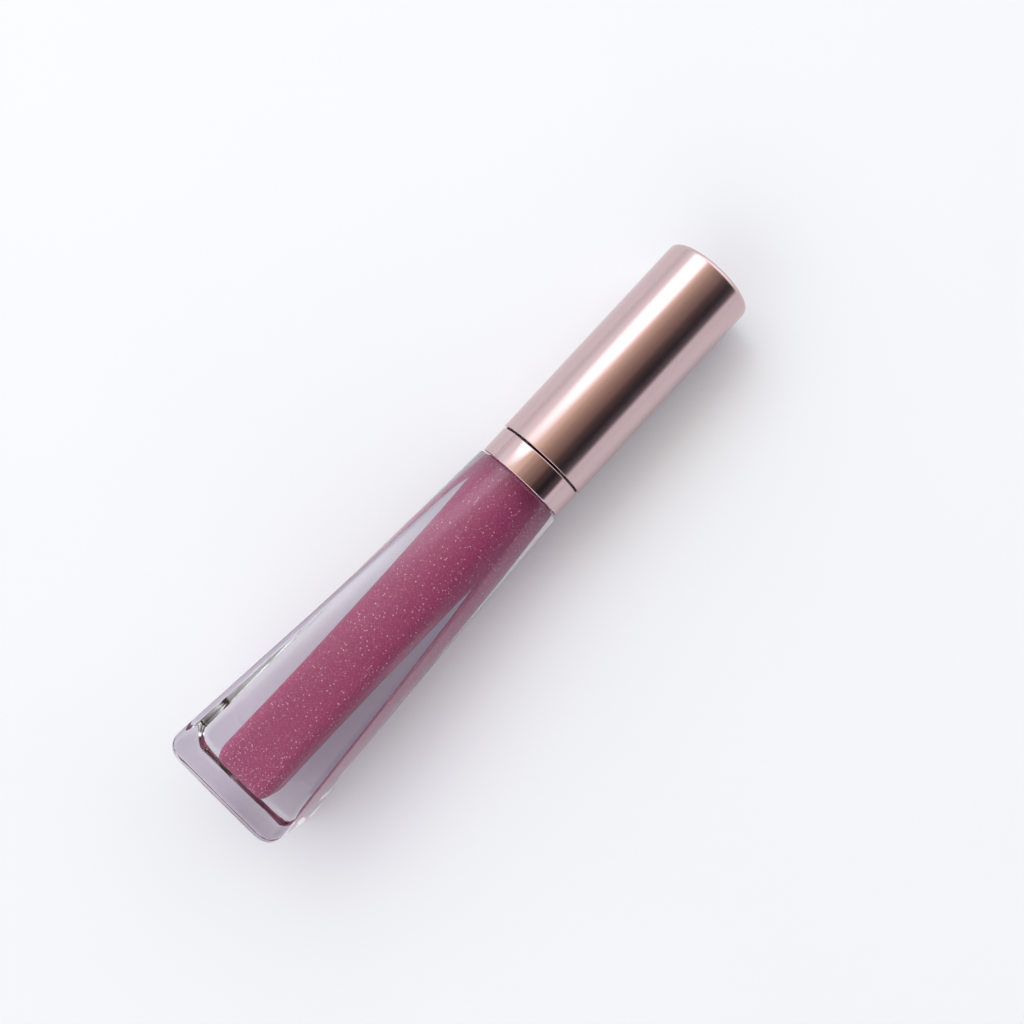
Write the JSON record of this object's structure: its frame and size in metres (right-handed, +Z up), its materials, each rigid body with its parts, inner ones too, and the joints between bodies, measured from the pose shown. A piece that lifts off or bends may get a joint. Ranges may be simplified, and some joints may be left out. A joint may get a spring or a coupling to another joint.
{
  "type": "lip gloss tube",
  "caption": "Clear round-to-square lip gloss bottle with a collar ring, neck wiper, and a rose-gold screw cap that carries the wand and flocked tip.",
  "frame": {"origin": "middle of the box's bottom, on the surface that the tube lies on", "axes": "+X along the tube toward the cap, +Z up; the tube's own axis drops 1.68 degrees toward the cap because the tube rests on its base edge and its narrower cap rim"},
  "size_m": [0.1148, 0.0228, 0.023],
  "materials": {
    "clear_plastic": "clear thick-walled acrylic-like plastic, polished",
    "pink_gloss": "wet pink gloss with fine glitter",
    "rose_gold_satin": "anodised rose gold, satin",
    "rose_gold_polished": "anodised rose gold, polished",
    "white_liner": "moulded white polypropylene",
    "soft_wiper": "translucent soft polyethylene",
    "foam_seal": "closed-cell foam",
    "wand_plastic": "clear-white stem wet with gloss",
    "flock": "short nylon flock, tinted by the gloss"
  },
  "bodies": {
    "bottle": {"bottle": "clear_plastic", "gloss_fill": "pink_gloss", "collar": "rose_gold_polished", "wiper": "soft_wiper"},
    "seal": {"seal_ring": "foam_seal"},
    "applicator": {"cap_shell": "rose_gold_satin", "inner_cap": "white_liner", "wand": "wand_plastic", "applicator_tip": "flock"}
  },
  "joints": [
    {"name": "applicator_pull", "type": "slide", "parent": "bottle", "child": "seal", "axis": [0.9996, 0, -0.0293], "range_m": [0, 0.085]},
    {"name": "cap_unscrew", "type": "hinge", "parent": "seal", "child": "applicator", "pos_m": [0.02283, 0, 0.00922], "axis": [0.9996, 0, -0.0293], "range_deg": [0, 630]}
  ]
}
